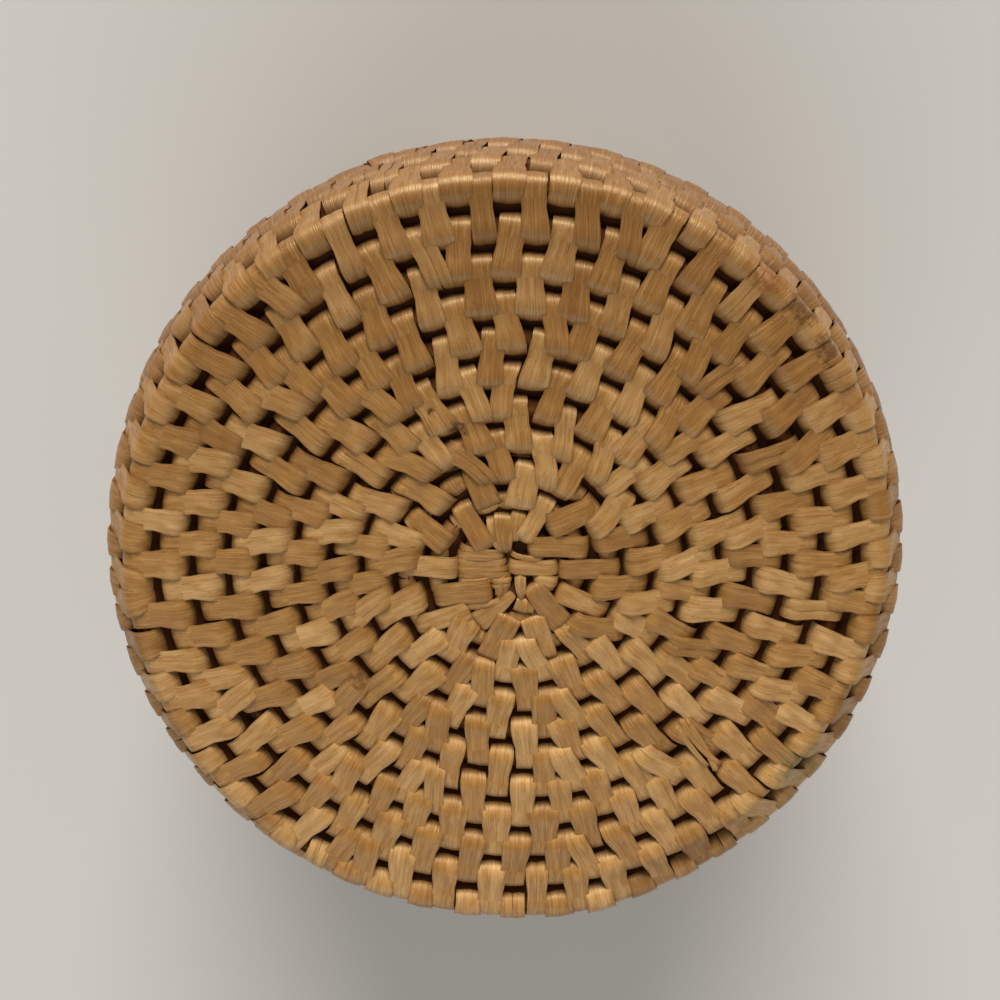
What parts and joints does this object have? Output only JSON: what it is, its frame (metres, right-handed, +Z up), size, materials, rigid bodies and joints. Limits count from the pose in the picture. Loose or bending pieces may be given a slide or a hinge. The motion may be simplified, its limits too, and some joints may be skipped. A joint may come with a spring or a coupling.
{
  "type": "lidded rattan basket",
  "caption": "Round lidded basket of coiled rattan cane wrapped in flat splint; the lid lifts off a neck inside the mouth.",
  "frame": {"origin": "centre of the base, on the surface that the basket stands on", "axes": "+Z up through the lid along the way it lifts; +Y is the side at the top of the picture; +X is the picture's right"},
  "size_m": [0.1463, 0.1478, 0.0845],
  "materials": {
    "rattan_body": "satin, natural split rattan wrapped round cane",
    "rattan_neck": "satin, less handled split rattan wrapped round cane",
    "rattan_lid": "satin, natural split rattan wrapped round cane"
  },
  "bodies": {
    "basket": {"base_start": "rattan_body", "base_coil": "rattan_body", "wall_coil": "rattan_body", "shoulder_coil": "rattan_body", "neck_coil": "rattan_neck"},
    "lid": {"lid_start": "rattan_lid", "lid_top_coil": "rattan_lid", "lid_wall_coil": "rattan_lid", "lid_rim_coil": "rattan_lid"}
  },
  "joints": [
    {"name": "lid_lift", "type": "slide", "parent": "basket", "child": "lid", "axis": [0, 0, 1], "range_m": [0, 0.12]}
  ]
}
